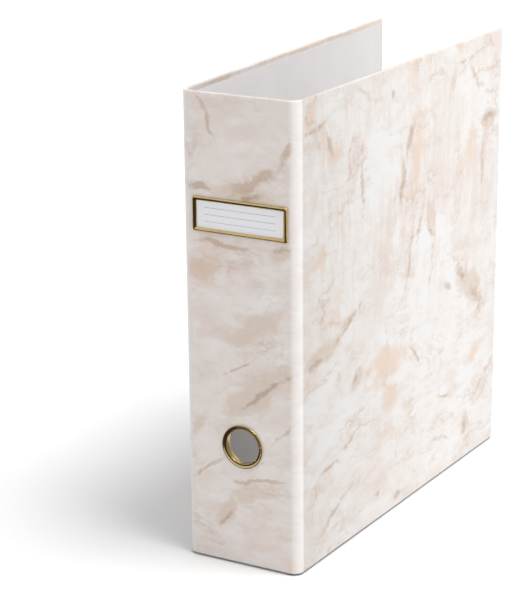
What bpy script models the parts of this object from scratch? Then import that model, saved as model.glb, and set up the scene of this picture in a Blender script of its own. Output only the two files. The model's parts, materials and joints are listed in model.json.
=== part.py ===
"""A lever arch file: three covered boards round a two-post lever arch mechanism.

The file stands upright. +Z is up, the spine faces -Y, and the covers run back along +Y. The back cover,
on the -X side, carries the mechanism. The front cover, on the +X side, stands slightly open.
The design is laid out with y = 0 at the spine's outer face and x = 0 at the spine's middle. One empty
then moves all of it, so that the origin is at the middle of the base.
"""

import math

import bmesh
import bpy
from mathutils import Euler, Vector

MM = 0.001

# Case
HEIGHT = 318 * MM
DEPTH = 290 * MM
WIDTH = 84 * MM
PANEL = 3 * MM
SPLAY = math.radians(3)
CORNER = 6.5 * MM
HINGE_SKIN = 0.7 * MM
HINGE_GAP = 0.2 * MM

# Paper and board
PAPER = 0.35 * MM
LINING = 0.3 * MM
FIT = 0.1 * MM
TURN_IN = 15 * MM
LINING_INSET = 3.5 * MM
WRAP_DEPTH = PANEL - LINING - FIT

# Spine fittings
LABEL_SIZE = (69 * MM, 23 * MM)
LABEL_WINDOW = (63 * MM, 18 * MM)
LABEL_CENTRE = (1 * MM, 238.8 * MM)
LABEL_FRONT = -2 * MM
CARD_SIZE = (65 * MM, 19.6 * MM)
CARD_THICK = 0.3 * MM
PRONG = (4 * MM, 0.8 * MM)
PRONG_INSET = 0.7 * MM
RING_X = 1 * MM
RING_Z = 84 * MM
RING_OUTER = 15 * MM
RING_BORE = 12.1 * MM
RING_BARREL = 12.7 * MM
RING_HOLE = 13.4 * MM
RING_LIP = 1.4 * MM
GAP = 0.3 * MM

# Mechanism: heights are above the back cover's inner face
INNER_FACE = -WIDTH / 2 + PANEL
MIDDLE_Z = 159 * MM
POST_Y = 78 * MM
POST_SPACING = 80 * MM
POST_RADIUS = 2.5 * MM
POST_TOP = 44.5 * MM
WIRE_RADIUS = 2 * MM
SHAFT_Y = 31 * MM
SHAFT_H = 5 * MM
CRANK_ARM = 12 * MM
CRANK_ANGLE = math.radians(25)
PLATE_LOW = 0.3 * MM
PLATE_TOP = 1.5 * MM
PLATE_Y = (20 * MM, 88 * MM)
PLATE_HALF = 82 * MM
RIVET_HALF = 74 * MM
RIVET_Y = (27 * MM, 81 * MM)
RIVET_HEAD = 1.2 * MM
LEVER_H = 6.54 * MM
LEVER_Z = 182 * MM
LEVER_Y = (44.5 * MM, 60.5 * MM)
SHEET = 1 * MM
PIN_RADIUS = 1.6 * MM
ROLLER_ARM = 4.5 * MM
ROLLER_ANGLE = math.radians(15)
ROLLER_RADIUS = 2.5 * MM
ROLLER_Y = (35.5 * MM, 44.1 * MM)
ROLLER_PIN = 1.1 * MM
BAR_H = (2.8 * MM, 4 * MM)
BAR_Y = (67 * MM, 89 * MM)
BAR_HALF = 68 * MM
LATCH_Y = 70.5 * MM
LATCH_H = 6.5 * MM
LATCH_HALF = 7 * MM
LATCH_PIN = 0.8 * MM
LATCH_KNUCKLE = 1.7 * MM
LATCH_END = 90.5 * MM
LUGS_Z = (128 * MM, 191.5 * MM)
LUG_RADIUS = 4.3 * MM
LUG_THICK = 1.4 * MM
EAR_RADIUS = 4 * MM
EAR_THICK = 1.2 * MM
COLLAR_RADIUS = 3.6 * MM
SPIGOT_RADIUS = 1.9 * MM
SEAT_DEPTH = 1.2 * MM
REST_GAP = 0.2 * MM

ROUND = 32
SMALL_ROUND = 20

POSTS_Z = (MIDDLE_Z - POST_SPACING / 2, MIDDLE_Z + POST_SPACING / 2)
ARCH_RADIUS = (POST_Y - SHAFT_Y) / 2
ARCH_Y = (POST_Y + SHAFT_Y) / 2
ROLLER_H = LEVER_H - ROLLER_ARM * math.sin(ROLLER_ANGLE)
ROLLER_Z = LEVER_Z - ROLLER_ARM * math.cos(ROLLER_ANGLE)

BACK_HINGE = Vector((-(WIDTH - PANEL) / 2, PANEL / 2, 0))
FRONT_HINGE = Vector(((WIDTH - PANEL) / 2, PANEL / 2, 0))

# The box at rest, which puts the origin at the middle of the base
LOWEST_X = -WIDTH / 2 - RIVET_HEAD
HIGHEST_X = FRONT_HINGE.x + PANEL / 2 * math.cos(SPLAY) + (DEPTH - PANEL / 2) * math.sin(SPLAY)
BASE_CENTRE = Vector(((LOWEST_X + HIGHEST_X) / 2, (LABEL_FRONT + DEPTH) / 2, 0))


for old in list(bpy.data.objects):
    bpy.data.objects.remove(old)

file_parts = bpy.data.collections.new("lever_arch_file")
cutters = bpy.data.collections.new("cutters")
for collection in (file_parts, cutters):
    bpy.context.scene.collection.children.link(collection)
cutters.hide_render = True


def material(name, color, roughness, metallic=0.0):
    made = bpy.data.materials.new(name)
    made.use_nodes = True
    shader = made.node_tree.nodes["Principled BSDF"]
    shader.inputs["Base Color"].default_value = (*color, 1)
    shader.inputs["Roughness"].default_value = roughness
    shader.inputs["Metallic"].default_value = metallic
    return made


MARBLED = material("marbled_paper", (0.80, 0.74, 0.69), 0.45)
GREYBOARD = material("greyboard", (0.42, 0.38, 0.33), 0.9)
LINING_PAPER = material("lining_paper", (0.78, 0.77, 0.76), 0.7)
CARD = material("label_card", (0.86, 0.86, 0.88), 0.6)
BRASS = material("polished_brass", (0.80, 0.62, 0.33), 0.2, 1.0)
NICKEL = material("nickel_plate", (0.66, 0.65, 0.62), 0.25, 1.0)
NYLON = material("nylon", (0.85, 0.84, 0.80), 0.5)


def empty(name, place, parent=None, angle=0.0):
    """An empty on a joint's axis. place is in the design's coordinates."""
    made = bpy.data.objects.new(name, None)
    file_parts.objects.link(made)
    made.parent = parent
    made.location = Vector(place) - (Vector(parent["place"]) if parent else Vector())
    made.rotation_euler = Euler((0, 0, angle))
    made["place"] = tuple(place)
    return made


def height(h, y, z):
    """A point of the mechanism, h above the back cover's inner face."""
    return Vector((INNER_FACE + h, y, z))


root = empty("file_base", (0, 0, 0))
root.location = -BASE_CENTRE
spine_axis = empty("spine_axis", BACK_HINGE, root)
front_axis = empty("front_cover_axis", FRONT_HINGE, spine_axis, -SPLAY)
arch_axis = empty("arch_axis", height(SHAFT_H, SHAFT_Y, MIDDLE_Z), root)
lever_axis = empty("lever_axis", height(LEVER_H, sum(LEVER_Y) / 2, LEVER_Z), root)
roller_axis = empty("roller_axis", height(ROLLER_H, sum(ROLLER_Y) / 2, ROLLER_Z), lever_axis)
compressor_axis = empty("compressor_axis", height(BAR_H[0], POST_Y, MIDDLE_Z), root)
latch_axis = empty("latch_axis", height(LATCH_H, LATCH_Y, POSTS_Z[1]), compressor_axis)


def add(name, mesh, look=None, axis=None):
    """A part under its axis, or a cutter where no look is given. Mesh points are in the design's coordinates."""
    made = bpy.data.objects.new(name, mesh)
    made.parent = axis or root
    made.location = -Vector(made.parent["place"])
    if look:
        file_parts.objects.link(made)
        mesh.materials.append(look)
    else:
        cutters.objects.link(made)
        made.hide_render = True
        made.display_type = "WIRE"
    return made


def mesh_from(name, bm):
    bmesh.ops.recalc_face_normals(bm, faces=bm.faces)
    mesh = bpy.data.meshes.new(name)
    bm.to_mesh(mesh)
    bm.free()
    return mesh


def box(name, low, high, look=None, axis=None):
    bm = bmesh.new()
    bmesh.ops.create_cube(bm, size=1)
    low, high = Vector(low), Vector(high)
    bmesh.ops.scale(bm, vec=high - low, verts=bm.verts)
    bmesh.ops.translate(bm, vec=(low + high) / 2, verts=bm.verts)
    return add(name, mesh_from(name, bm), look, axis)


def cylinder(name, start, end, radius, look=None, axis=None, sides=SMALL_ROUND):
    """A round bar from start to end."""
    start, end = Vector(start), Vector(end)
    bm = bmesh.new()
    bmesh.ops.create_cone(
        bm, cap_ends=True, segments=sides, radius1=radius, radius2=radius, depth=(end - start).length
    )
    turn = (end - start).to_track_quat("Z", "Y")
    bmesh.ops.rotate(bm, cent=(0, 0, 0), matrix=turn.to_matrix(), verts=bm.verts)
    bmesh.ops.translate(bm, vec=(start + end) / 2, verts=bm.verts)
    return smooth(add(name, mesh_from(name, bm), look, axis))


def smooth(part):
    part.data.shade_smooth()
    part.data.set_sharp_from_angle(angle=math.radians(35))
    return part


def boolean(part, operation, *others):
    for other in others:
        made = part.modifiers.new(operation.lower(), "BOOLEAN")
        made.operation = operation
        made.object = other
        made.solver = "EXACT"
    return part


def rounded_edges(part, width, direction, segments=3):
    """Rounds the edges of a box that run along one axis."""
    bm = bmesh.new()
    bm.from_mesh(part.data)
    chosen = [e for e in bm.edges if abs((e.verts[0].co - e.verts[1].co).normalized()[direction]) > 0.99]
    bmesh.ops.bevel(bm, geom=chosen, offset=width, segments=segments, profile=0.5, affect="EDGES")
    bm.to_mesh(part.data)
    bm.free()
    return part


def turned(name, profile, place, rotation, look, axis=None, steps=ROUND):
    """A turned piece. Each profile point is (radius, height along the axis), from the top down the outside."""
    mesh = bpy.data.meshes.new(name)
    points = [(radius, 0, along) for radius, along in profile]
    mesh.from_pydata(points, [(i, i + 1) for i in range(len(points) - 1)], [])
    part = add(name, mesh, look, axis)
    part.location += Vector(place)
    part.rotation_euler = rotation
    made = part.modifiers.new("turn", "SCREW")
    made.steps = made.render_steps = steps
    made.use_merge_vertices = True
    made.merge_threshold = 0.00001
    made.use_smooth_shade = False
    return part


ALONG_X = Euler((0, math.pi / 2, 0))
ALONG_MINUS_Y = Euler((math.pi / 2, 0, 0))


# ---- Case ----


def panel_box(name, side, across, through, up, look=None):
    """A box in a panel. across runs from the hinge, through from the panel's outer face inwards."""
    if side == "spine":
        low, high = (across[0], through[0], up[0]), (across[1], through[1], up[1])
        return box(name, low, high, look, spine_axis)
    if side == "back":
        low = (-WIDTH / 2 + through[0], across[0], up[0])
        high = (-WIDTH / 2 + through[1], across[1], up[1])
        return box(name, low, high, look, root)
    low = (WIDTH / 2 - through[1], across[0], up[0])
    high = (WIDTH / 2 - through[0], across[1], up[1])
    return box(name, low, high, look, front_axis)


def panel(side, across):
    """Wrap, board and lining of one panel. A cover's wrap also turns in at the fore-edge."""
    beyond = 1 * MM
    start = across[0] - beyond
    closed_end = across[1] + beyond if side == "spine" else across[1]
    wrap = panel_box(f"{side}_wrap", side, across, (0, WRAP_DEPTH), (0, HEIGHT), MARBLED)
    paper = 0 if side == "spine" else PAPER
    inside = panel_box(
        f"{side}_wrap_inside",
        side,
        (start, closed_end - paper),
        (PAPER, WRAP_DEPTH - PAPER),
        (PAPER, HEIGHT - PAPER),
    )
    turned_in = 0 if side == "spine" else TURN_IN
    window = panel_box(
        f"{side}_wrap_window",
        side,
        (start, closed_end - turned_in),
        (PANEL / 2, PANEL + beyond),
        (TURN_IN, HEIGHT - TURN_IN),
    )
    boolean(wrap, "DIFFERENCE", inside, window)
    skin = PAPER + FIT
    last = across[1] if side == "spine" else across[1] - skin
    board = panel_box(
        f"{side}_board",
        side,
        (across[0], last),
        (skin, WRAP_DEPTH - skin),
        (skin, HEIGHT - skin),
        GREYBOARD,
    )
    last = across[1] if side == "spine" else across[1] - LINING_INSET
    lining = panel_box(
        f"{side}_lining",
        side,
        (across[0], last),
        (PANEL - LINING, PANEL),
        (LINING_INSET, HEIGHT - LINING_INSET),
        LINING_PAPER,
    )
    return wrap, board, lining


def hinge_strip(side, sign):
    """The paper that goes round the corner between the spine and a cover: a quarter-round shell."""
    steps = 8
    least = math.radians(1)
    centre_x = sign * (WIDTH / 2 - CORNER)
    bm = bmesh.new()
    row = []
    for i in range(steps + 1):
        turn = least + (math.pi / 2 - 2 * least) * i / steps
        x = centre_x + sign * CORNER * math.cos(turn)
        y = CORNER - CORNER * math.sin(turn)
        row.append(bm.verts.new((x, y, 2 * GAP)))
    edges = [bm.edges.new(pair) for pair in zip(row, row[1:])]
    raised = bmesh.ops.extrude_edge_only(bm, edges=edges)["geom"]
    tops = [v for v in raised if isinstance(v, bmesh.types.BMVert)]
    bmesh.ops.translate(bm, vec=(0, 0, HEIGHT - 4 * GAP), verts=tops)
    outward = Vector((sign, -1, 0))
    bm.normal_update()
    if sum(face.normal.dot(outward) for face in bm.faces) < 0:
        bmesh.ops.reverse_faces(bm, faces=bm.faces)
    mesh = bpy.data.meshes.new(f"{side}_hinge_strip")
    bm.to_mesh(mesh)
    bm.free()
    part = add(f"{side}_hinge_strip", mesh, MARBLED, spine_axis)
    shell = part.modifiers.new("paper", "SOLIDIFY")
    shell.thickness = HINGE_SKIN
    shell.offset = -1
    return part


cover_across = (CORNER + HINGE_GAP, DEPTH)
spine_half = WIDTH / 2 - CORNER - HINGE_GAP
back_layers = panel("back", cover_across)
spine_layers = panel("spine", (-spine_half, spine_half))
panel("front", cover_across)
hinge_strip("back", -1)
hinge_strip("front", 1)


# ---- Spine fittings ----


def label():
    """The label frame, with a rebate behind its window for the card, and two prongs into the board."""
    x, z = LABEL_CENTRE
    back = -GAP

    def centred(name, size, front, rear, look=None):
        low = (x - size[0] / 2, front, z - size[1] / 2)
        high = (x + size[0] / 2, rear, z + size[1] / 2)
        return box(name, low, high, look, spine_axis)

    frame = rounded_edges(centred("label_frame", LABEL_SIZE, LABEL_FRONT, back, BRASS), 1.5 * MM, 1)
    rebate = (CARD_SIZE[0] + GAP * 2, CARD_SIZE[1] + GAP * 2)
    window = centred("label_window", LABEL_WINDOW, LABEL_FRONT - 1 * MM, 1 * MM)
    rebate_cut = centred("label_rebate", rebate, back - CARD_THICK - GAP, 1 * MM)
    prong_z = LABEL_SIZE[1] / 2 - PRONG_INSET
    tips = []
    for name, side in (("lower", -1), ("upper", 1)):
        middle = Vector((x, 0, z + side * prong_z))
        half = Vector((PRONG[0] / 2, 0, PRONG[1] / 2))
        tip = box(
            f"label_prong_{name}",
            middle - half + Vector((0, -1 * MM, 0)),
            middle + half + Vector((0, PANEL / 2, 0)),
            axis=spine_axis,
        )
        tips.append(tip)
        room = Vector((GAP, 0, GAP))
        slot = box(
            f"label_slot_{name}",
            middle - half - room + Vector((0, -1 * MM, 0)),
            middle + half + room + Vector((0, PANEL / 2 + GAP, 0)),
            axis=spine_axis,
        )
        for layer in spine_layers[:2]:
            boolean(layer, "DIFFERENCE", slot)
    boolean(frame, "DIFFERENCE", window, rebate_cut)
    boolean(frame, "UNION", *tips)
    centred("label_card", CARD_SIZE, back - CARD_THICK, back, CARD)


def finger_ring():
    """The brass eyelet in the spine's finger hole, and the washer that it is set over inside."""
    place = Vector((RING_X, 0, RING_Z))
    washer = (RING_BARREL + GAP, RING_OUTER - 0.5 * MM)
    lip = PANEL + RING_LIP
    ring = [
        (RING_BORE + 1.7 * MM, 1.15 * MM),
        (RING_OUTER - 0.6 * MM, 1.3 * MM),
        (RING_OUTER - 0.2 * MM, 1.15 * MM),
        (RING_OUTER, 0.8 * MM),
        (RING_OUTER, GAP),
        (RING_HOLE + 0.2 * MM, GAP),
        (RING_BARREL + 0.5 * MM, -0.1 * MM),
        (RING_BARREL, -0.9 * MM),
        (RING_BARREL, -lip),
        (RING_BORE, -lip),
        (RING_BORE, -1.1 * MM),
        (RING_BORE + 0.7 * MM, 0.2 * MM),
        (RING_BORE + 1.7 * MM, 1.15 * MM),
    ]
    turned("finger_ring", ring, place, ALONG_MINUS_Y, BRASS, spine_axis, 40)
    under, over = -PANEL - GAP, -PANEL - 1 * MM
    ring_washer = [
        (washer[0], under),
        (washer[1], under),
        (washer[1], over),
        (washer[0], over),
        (washer[0], under),
    ]
    turned("finger_ring_washer", ring_washer, place, ALONG_MINUS_Y, BRASS, spine_axis, 40)
    hole = cylinder(
        "finger_hole",
        place - Vector((0, 10 * MM, 0)),
        place + Vector((0, 10 * MM, 0)),
        RING_HOLE,
        axis=spine_axis,
        sides=40,
    )
    for layer in spine_layers:
        boolean(layer, "DIFFERENCE", hole)


label()
finger_ring()


# ---- Mechanism ----


def base_plate():
    """The sheet steel base, with two lugs for the arches' shaft and two ears for the lever's pin."""
    plate = box(
        "base_plate",
        height(PLATE_LOW, PLATE_Y[0], MIDDLE_Z - PLATE_HALF),
        height(PLATE_TOP, PLATE_Y[1], MIDDLE_Z + PLATE_HALF),
        NICKEL,
    )
    rounded_edges(plate, 5 * MM, 0)
    bottom = (PLATE_LOW + PLATE_TOP) / 2
    half = LUG_THICK / 2
    for i, z in enumerate(LUGS_Z):
        eye = cylinder(
            f"lug_eye_{i}",
            height(SHAFT_H, SHAFT_Y, z - half),
            height(SHAFT_H, SHAFT_Y, z + half),
            LUG_RADIUS,
        )
        foot = box(
            f"lug_foot_{i}",
            height(bottom, SHAFT_Y - LUG_RADIUS, z - half),
            height(SHAFT_H, SHAFT_Y + LUG_RADIUS, z + half),
        )
        boolean(plate, "UNION", foot, eye)
    shaft_holes = cylinder(
        "shaft_holes",
        height(SHAFT_H, SHAFT_Y, LUGS_Z[0] - LUG_RADIUS),
        height(SHAFT_H, SHAFT_Y, LUGS_Z[1] + LUG_RADIUS),
        WIRE_RADIUS + GAP,
    )
    ear_inset = SHEET + 0.8 * MM
    first, second = LEVER_Y[0] + ear_inset, LEVER_Y[1] - ear_inset - EAR_THICK
    for i, y in enumerate((first, second)):
        eye = cylinder(
            f"ear_eye_{i}",
            height(LEVER_H, y, LEVER_Z),
            height(LEVER_H, y + EAR_THICK, LEVER_Z),
            EAR_RADIUS,
        )
        foot = box(
            f"ear_foot_{i}",
            height(bottom, y, LEVER_Z - EAR_RADIUS),
            height(LEVER_H, y + EAR_THICK, LEVER_Z + EAR_RADIUS),
        )
        boolean(plate, "UNION", foot, eye)
    ear_holes = cylinder(
        "ear_holes",
        height(LEVER_H, LEVER_Y[0], LEVER_Z),
        height(LEVER_H, LEVER_Y[1], LEVER_Z),
        PIN_RADIUS + FIT,
    )
    post_holes = [
        cylinder(
            f"post_hole_{i}",
            height(-PLATE_TOP, POST_Y, z),
            height(2 * PLATE_TOP, POST_Y, z),
            SPIGOT_RADIUS + REST_GAP,
        )
        for i, z in enumerate(POSTS_Z)
    ]
    return boolean(plate, "DIFFERENCE", shaft_holes, ear_holes, *post_holes)


def post(name, z):
    """A fixed post with a collar on the plate, a spigot through it, and a conical seat in its top."""
    seat = POST_TOP - SEAT_DEPTH
    collar_low, collar_high = PLATE_TOP + REST_GAP, PLATE_TOP + 0.7 * MM
    profile = [
        (0, seat),
        (POST_RADIUS - 1.6 * MM, seat),
        (POST_RADIUS - 0.4 * MM, POST_TOP),
        (POST_RADIUS - 0.2 * MM, POST_TOP),
        (POST_RADIUS, POST_TOP - 0.3 * MM),
        (POST_RADIUS, collar_high),
        (COLLAR_RADIUS, collar_high),
        (COLLAR_RADIUS, collar_low),
        (SPIGOT_RADIUS, collar_low),
        (SPIGOT_RADIUS, PLATE_LOW + REST_GAP),
        (0, PLATE_LOW + REST_GAP),
    ]
    return turned(name, profile, height(0, POST_Y, z), ALONG_X, NICKEL, steps=24)


def rivet(name, y, z):
    """A rivet from the plate through the back cover, with a low dome on each end."""
    shank, inner, outer = SPIGOT_RADIUS, 3.4 * MM, 4.2 * MM
    top = PLATE_TOP + REST_GAP
    under = -PANEL - REST_GAP
    profile = [
        (0, top + 0.9 * MM),
        (inner * 0.6, top + 0.75 * MM),
        (inner, top + 0.2 * MM),
        (inner, top),
        (shank, top),
        (shank, under),
        (outer, under),
        (outer, under - 0.25 * MM),
        (outer * 0.6, under - 0.85 * MM),
        (0, -PANEL - RIVET_HEAD),
    ]
    turned(name, profile, height(0, y, z), ALONG_X, NICKEL, steps=SMALL_ROUND)
    hole = cylinder(
        f"{name}_hole",
        height(-PANEL - 2 * MM, y, z),
        height(PLATE_TOP + 1 * MM, y, z),
        shank + GAP,
    )
    for layer in (*back_layers, plate):
        boolean(layer, "DIFFERENCE", hole)


def rounded_path(corners, radii, steps=5):
    """The points of a path with an arc of the given radius at each inner corner."""
    path = [corners[0]]
    for before, corner, after, radius in zip(corners, corners[1:], corners[2:], radii):
        back, on = (before - corner).normalized(), (after - corner).normalized()
        half = back.angle(on) / 2
        centre = corner + (back + on).normalized() * radius / math.sin(half)
        first = corner + back * radius / math.tan(half) - centre
        last = corner + on * radius / math.tan(half) - centre
        for i in range(steps + 1):
            path.append(centre + first.normalized().slerp(last.normalized(), i / steps) * radius)
    return path + [corners[-1]]


def arch_top(z):
    """Half circle from the post's tip over to the leg, at one end of the wire."""
    steps = 16
    points = []
    for i in range(steps + 1):
        turn = math.pi * i / steps
        y = ARCH_Y + ARCH_RADIUS * math.cos(turn)
        points.append(height(POST_TOP + ARCH_RADIUS * math.sin(turn), y, z))
    return points


def arch_wire():
    """Both arches, their shaft and the crank that the lever lifts, bent from one wire."""
    crank_y = SHAFT_Y + CRANK_ARM * math.cos(CRANK_ANGLE)
    crank_h = SHAFT_H + CRANK_ARM * math.sin(CRANK_ANGLE)
    crank_z = (LEVER_Z + 4 * MM, LEVER_Z - 12 * MM)
    low_z, high_z = POSTS_Z
    middle = [
        height(POST_TOP - 1 * MM, SHAFT_Y, high_z),
        height(SHAFT_H, SHAFT_Y, high_z),
        height(SHAFT_H, SHAFT_Y, crank_z[0]),
        height(crank_h, crank_y, crank_z[0]),
        height(crank_h, crank_y, crank_z[1]),
        height(SHAFT_H, SHAFT_Y, crank_z[1]),
        height(SHAFT_H, SHAFT_Y, low_z),
        height(POST_TOP - 1 * MM, SHAFT_Y, low_z),
    ]
    bends = [5 * MM, 3 * MM, 3 * MM, 3 * MM, 3 * MM, 5 * MM]
    path = rounded_path(middle, bends)
    path = arch_top(high_z) + path + arch_top(low_z)[::-1]
    lift = 0.35 * MM
    cone = 1.3 * MM
    first, last = path[0].copy(), path[-1].copy()
    first.x += lift
    last.x += lift
    path[0], path[-1] = first, last
    along = Vector((cone, 0, 0))
    path = [first - along] + path + [last - along]
    curve = bpy.data.curves.new("arch_wire", "CURVE")
    curve.dimensions = "3D"
    spline = curve.splines.new("POLY")
    spline.points.add(len(path) - 1)
    for point, place in zip(spline.points, path):
        point.co = (*place, 1)
    for end in (0, -1):
        spline.points[end].radius = 0.35
    curve.bevel_depth = WIRE_RADIUS
    curve.bevel_resolution = 4
    curve.use_fill_caps = True
    wire = add("arch_wire", curve, NICKEL, arch_axis)
    return wire


def side_outline(name, outline, y, look=None, axis=None):
    """A flat outline of (z, height) points in the plane of the lever's swing, as thick as y says."""
    bm = bmesh.new()
    rim = [bm.verts.new(height(h, y[0], z)) for z, h in outline]
    face = bm.faces.new(rim)
    raised = bmesh.ops.extrude_face_region(bm, geom=[face])["geom"]
    verts = [v for v in raised if isinstance(v, bmesh.types.BMVert)]
    bmesh.ops.translate(bm, vec=(0, y[1] - y[0], 0), verts=verts)
    return add(name, mesh_from(name, bm), look, axis)


def lever():
    """The lever: a folded channel, open below, round at the pivot and with a lip at the finger end."""
    heel = 4 * MM
    top = 5.4 * MM
    outline = [(0, -heel)]
    for degrees in (-60, -30, 0):
        turn = math.radians(degrees)
        outline.append((heel * math.cos(turn), heel * math.sin(turn)))
    outline += [(4 * MM, 3 * MM), (3.2 * MM, 4.8 * MM), (2 * MM, top)]
    outline += [(-56 * MM, top), (-61 * MM, 6 * MM), (-65.5 * MM, 7.5 * MM), (-69 * MM, 9.8 * MM)]
    outline += [(-69.8 * MM, 9.1 * MM), (-66 * MM, 6.5 * MM), (-61.5 * MM, 5 * MM)]
    outline += [(-60.5 * MM, 2 * MM), (-12 * MM, -3.2 * MM)]
    outline = [(LEVER_Z + z, LEVER_H + h) for z, h in outline]
    body = side_outline("lever", outline, LEVER_Y, NICKEL, lever_axis)
    inside = box(
        "lever_inside",
        height(-5 * MM, LEVER_Y[0] + SHEET, LEVER_Z - 59.5 * MM),
        height(LEVER_H + top - SHEET, LEVER_Y[1] - SHEET, LEVER_Z + 10 * MM),
        axis=lever_axis,
    )
    bore = cylinder(
        "lever_bore",
        height(LEVER_H, LEVER_Y[0] - 1 * MM, LEVER_Z),
        height(LEVER_H, LEVER_Y[1] + 1 * MM, LEVER_Z),
        PIN_RADIUS + FIT,
        axis=lever_axis,
    )
    pin_hole = cylinder(
        "roller_pin_hole",
        height(ROLLER_H, LEVER_Y[0] - 1 * MM, ROLLER_Z),
        height(ROLLER_H, LEVER_Y[0] + 2 * MM, ROLLER_Z),
        ROLLER_PIN + FIT,
        axis=lever_axis,
    )
    return boolean(body, "DIFFERENCE", inside, bore, pin_hole)


def lever_pins_and_roller():
    lever_place = height(LEVER_H, 0, LEVER_Z)
    far = LEVER_Y[1]
    # A turned piece under ALONG_MINUS_Y grows towards -Y, so its heights are minus the y they stand for.
    profile = [
        (0, -LEVER_Y[0] - FIT),
        (PIN_RADIUS, -LEVER_Y[0] - FIT),
        (PIN_RADIUS, -far - FIT),
        (2.9 * MM, -far - FIT),
        (2.9 * MM, -far - 0.9 * MM),
        (0, -far - 0.9 * MM),
    ]
    turned("lever_pin", profile, lever_place, ALONG_MINUS_Y, NICKEL, steps=SMALL_ROUND)
    roller_place = height(ROLLER_H, 0, ROLLER_Z)
    near = ROLLER_Y[0]
    profile = [
        (0, -near + 0.9 * MM),
        (1.9 * MM, -near + 0.9 * MM),
        (1.9 * MM, -near + 0.2 * MM),
        (ROLLER_PIN, -near + 0.2 * MM),
        (ROLLER_PIN, -LEVER_Y[0] - SHEET - 0.5 * MM),
        (0, -LEVER_Y[0] - SHEET - 0.5 * MM),
    ]
    turned("roller_pin", profile, roller_place, ALONG_MINUS_Y, NICKEL, lever_axis, SMALL_ROUND)
    bore = ROLLER_PIN + FIT
    profile = [
        (bore, -near),
        (ROLLER_RADIUS, -near),
        (ROLLER_RADIUS, -ROLLER_Y[1]),
        (bore, -ROLLER_Y[1]),
        (bore, -near),
    ]
    turned("roller", profile, roller_place, ALONG_MINUS_Y, NYLON, roller_axis, SMALL_ROUND)


def compressor():
    """The bar that slides on the posts and holds the sheets down, with its catch and the catch's pin."""
    bar = box(
        "compressor_bar",
        height(BAR_H[0], BAR_Y[0], MIDDLE_Z - BAR_HALF),
        height(BAR_H[1], BAR_Y[1], MIDDLE_Z + BAR_HALF),
        NICKEL,
        compressor_axis,
    )
    rounded_edges(bar, 7 * MM, 0)
    z = POSTS_Z[1]
    for i, side in enumerate((-1, 1)):
        inner = z + side * (LATCH_HALF + GAP)
        outer = inner + side * 1.2 * MM
        ends = sorted((inner, outer))
        eye = cylinder(
            f"catch_eye_{i}",
            height(LATCH_H, LATCH_Y, ends[0]),
            height(LATCH_H, LATCH_Y, ends[1]),
            2 * MM,
            axis=compressor_axis,
        )
        foot = box(
            f"catch_foot_{i}",
            height(sum(BAR_H) / 2, LATCH_Y - 2 * MM, ends[0]),
            height(LATCH_H, LATCH_Y + 2 * MM, ends[1]),
            axis=compressor_axis,
        )
        boolean(bar, "UNION", foot, eye)
    holes = [
        cylinder(
            f"bar_hole_{i}",
            height(0, POST_Y, z_post),
            height(10 * MM, POST_Y, z_post),
            POST_RADIUS + 0.8 * MM,
            axis=compressor_axis,
        )
        for i, z_post in enumerate(POSTS_Z)
    ]
    reach = LATCH_HALF + 2.6 * MM
    pin_hole = cylinder(
        "catch_pin_hole",
        height(LATCH_H, LATCH_Y, z - reach),
        height(LATCH_H, LATCH_Y, z + reach),
        LATCH_PIN + FIT,
        axis=compressor_axis,
    )
    boolean(bar, "DIFFERENCE", *holes, pin_hole)
    cylinder(
        "compressor_catch_pin",
        height(LATCH_H, LATCH_Y, z - reach + 0.5 * MM),
        height(LATCH_H, LATCH_Y, z + reach - 0.5 * MM),
        LATCH_PIN,
        NICKEL,
        compressor_axis,
        sides=12,
    )
    half = 0.8 * MM
    catch = box(
        "compressor_catch",
        height(LATCH_H - half, LATCH_Y, z - LATCH_HALF),
        height(LATCH_H + half, LATCH_END, z + LATCH_HALF),
        NICKEL,
        latch_axis,
    )
    knuckle = cylinder(
        "catch_knuckle",
        height(LATCH_H, LATCH_Y, z - LATCH_HALF),
        height(LATCH_H, LATCH_Y, z + LATCH_HALF),
        LATCH_KNUCKLE,
        axis=latch_axis,
    )
    slot = box(
        "catch_slot",
        height(0, 74.9 * MM, z - 3.3 * MM),
        height(12 * MM, 85 * MM, z + 3.3 * MM),
        axis=latch_axis,
    )
    bore = cylinder(
        "catch_bore",
        height(LATCH_H, LATCH_Y, z - 10 * MM),
        height(LATCH_H, LATCH_Y, z + 10 * MM),
        LATCH_PIN + FIT,
        axis=latch_axis,
    )
    boolean(catch, "UNION", knuckle)
    boolean(catch, "DIFFERENCE", slot, bore)


plate = base_plate()
post("post_lower", POSTS_Z[0])
post("post_upper", POSTS_Z[1])
rivet_places = [(y, MIDDLE_Z + side * RIVET_HALF) for side in (-1, 1) for y in RIVET_Y]
for number, (rivet_y, rivet_z) in enumerate(rivet_places, 1):
    rivet(f"plate_rivet_{number}", rivet_y, rivet_z)
arch_wire()
lever()
lever_pins_and_roller()
compressor()
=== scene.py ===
"""The looks of a lever arch file: marbled paper over boards, brass fittings and a nickel-plated mechanism.

Everything is in metres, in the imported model's frame: +Z up, the spine faces -Y, the front cover is at +X.
"""

import json
import math
from dataclasses import dataclass

import bmesh
import bpy
from mathutils import Matrix, Vector


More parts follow.
